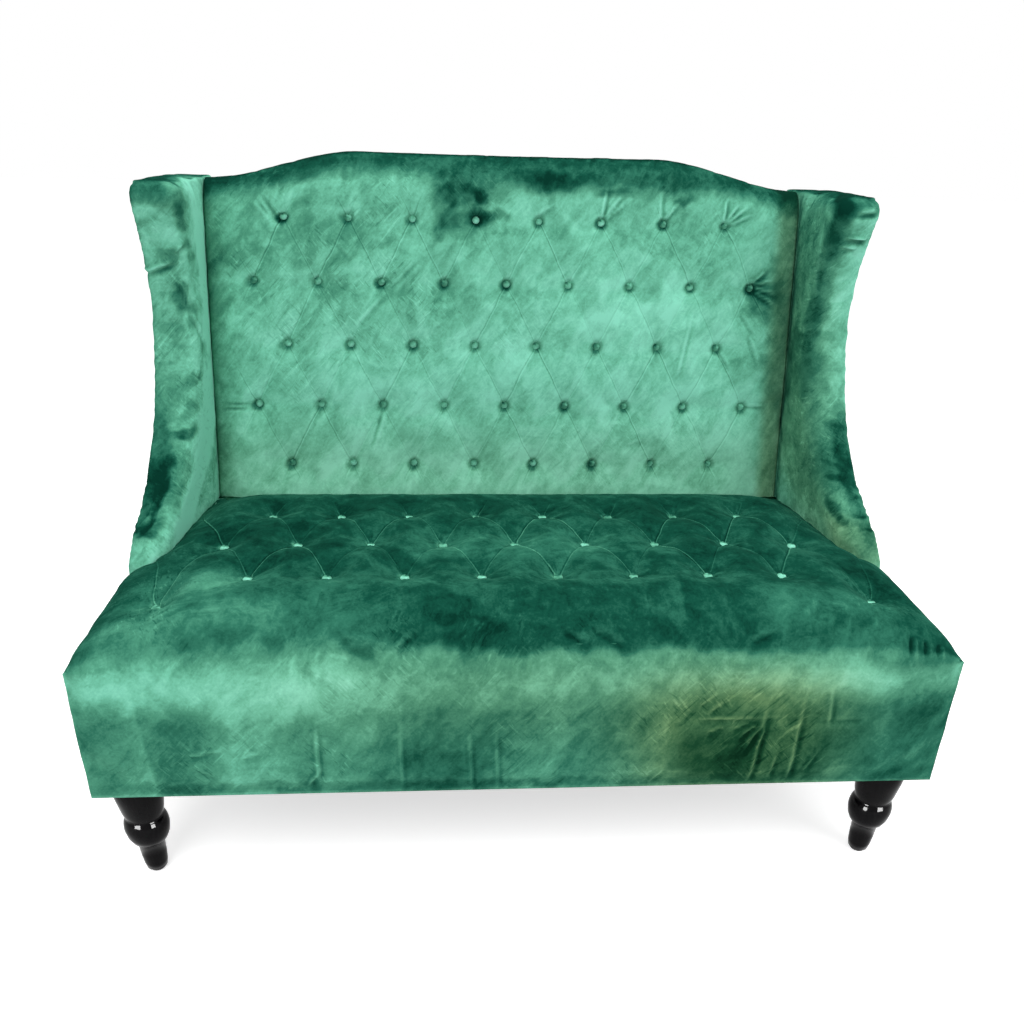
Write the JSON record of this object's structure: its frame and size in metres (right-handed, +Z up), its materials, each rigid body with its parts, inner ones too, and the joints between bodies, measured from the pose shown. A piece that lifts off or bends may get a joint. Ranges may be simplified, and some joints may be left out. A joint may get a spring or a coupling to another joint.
{
  "type": "two-seater sofa",
  "caption": "Wing-back settee with a buttoned tight seat, a buttoned camel-top back and short turned front legs.",
  "frame": {"origin": "on the floor, below the middle of the sofa's overall width and depth", "axes": "+X to the right for someone who stands in front of the sofa, +Y from the front of the seat to the back, +Z up"},
  "size_m": [1.3, 0.7836, 1.0734],
  "materials": {
    "velvet": "emerald green velvet with a short soft nap",
    "foam": "open-cell upholstery foam",
    "frame_wood": "planed solid wood, unfinished",
    "plywood": "sanded plywood, unfinished",
    "board": "plain grey fibre board",
    "webbing": "woven elastic webbing",
    "dust_cloth": "thin black non-woven cloth",
    "lacquer": "turned wood in high-gloss black lacquer",
    "felt": "pressed grey felt",
    "steel": "zinc-plated steel"
  },
  "bodies": {
    "root": {"seat_cover": "velvet", "back_cover": "velvet", "wing_cover_left": "velvet", "wing_cover_right": "velvet", "wing_outer_panel_left": "velvet", "wing_outer_panel_right": "velvet", "outside_back_cover": "velvet", "seat_foam": "foam", "back_foam": "foam", "wing_foam_left": "foam", "wing_foam_right": "foam", "seat_front_rail": "frame_wood", "seat_rear_rail": "frame_wood", "seat_side_rail_left": "frame_wood", "seat_side_rail_right": "frame_wood", "seat_stretcher_left": "frame_wood", "seat_stretcher_right": "frame_wood", "seat_ear_block_left": "frame_wood", "seat_ear_block_right": "frame_wood", "leg_block_front_left": "frame_wood", "leg_block_front_right": "frame_wood", "leg_block_rear_left": "frame_wood", "leg_block_rear_right": "frame_wood", "back_post_left": "frame_wood", "back_post_right": "frame_wood", "back_top_rail": "frame_wood", "back_bottom_rail": "frame_wood", "back_stile_left": "frame_wood", "back_stile_right": "frame_wood", "wing_panel_left": "plywood", "wing_panel_right": "plywood", "back_liner_board": "board", "seat_webbing": "webbing", "back_webbing": "webbing", "seat_dust_cover": "dust_cloth", "front_leg_left": "lacquer", "front_leg_right": "lacquer", "rear_leg_left": "lacquer", "rear_leg_right": "lacquer", "leg_glide_front_left": "felt", "leg_glide_front_right": "felt", "leg_glide_rear_left": "felt", "leg_glide_rear_right": "felt", "leg_bolt_front_left": "steel", "leg_bolt_front_right": "steel", "leg_bolt_rear_left": "steel", "leg_bolt_rear_right": "steel", "leg_insert_front_left": "steel", "leg_insert_front_right": "steel", "leg_insert_rear_left": "steel", "leg_insert_rear_right": "steel", "wing_bolt_rail_left": "steel", "wing_bolt_rail_right": "steel", "wing_bolt_post_left": "steel", "wing_bolt_post_right": "steel", "wing_nut_rail_left": "steel", "wing_nut_rail_right": "steel", "wing_nut_post_left": "steel", "wing_nut_post_right": "steel"}
  },
  "joints": []
}
